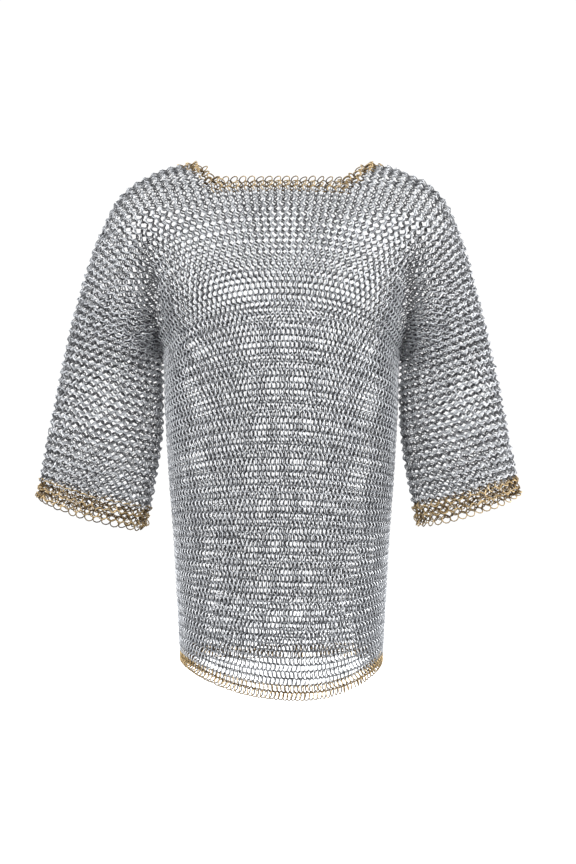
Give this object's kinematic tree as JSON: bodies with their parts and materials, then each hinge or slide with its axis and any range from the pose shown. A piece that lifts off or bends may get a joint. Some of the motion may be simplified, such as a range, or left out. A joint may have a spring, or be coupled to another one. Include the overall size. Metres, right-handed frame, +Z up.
{
  "type": "short chainmail hauberk",
  "caption": "Short mail shirt of linked steel rings in its worn form, with wide elbow-length sleeves, a boat neck and brass rings along the neck, cuffs and hem.",
  "frame": {"origin": "midway between the tops of the shoulders at the corners of the neck, where the wearer holds the shirt", "axes": "+X to the wearer's left, -Y to the front, +Z up"},
  "size_m": [0.693, 0.2513, 0.7557],
  "materials": {
    "steel_rings": "satin zinc-grey wire",
    "brass_rings": "satin brass wire, darkened in the gaps"
  },
  "bodies": {
    "root": {"front": "steel_rings", "back": "steel_rings", "sleeve_left": "steel_rings", "sleeve_right": "steel_rings", "neck_trim": "brass_rings", "cuff_trim_left": "brass_rings", "cuff_trim_right": "brass_rings", "hem_trim": "brass_rings"}
  },
  "joints": []
}
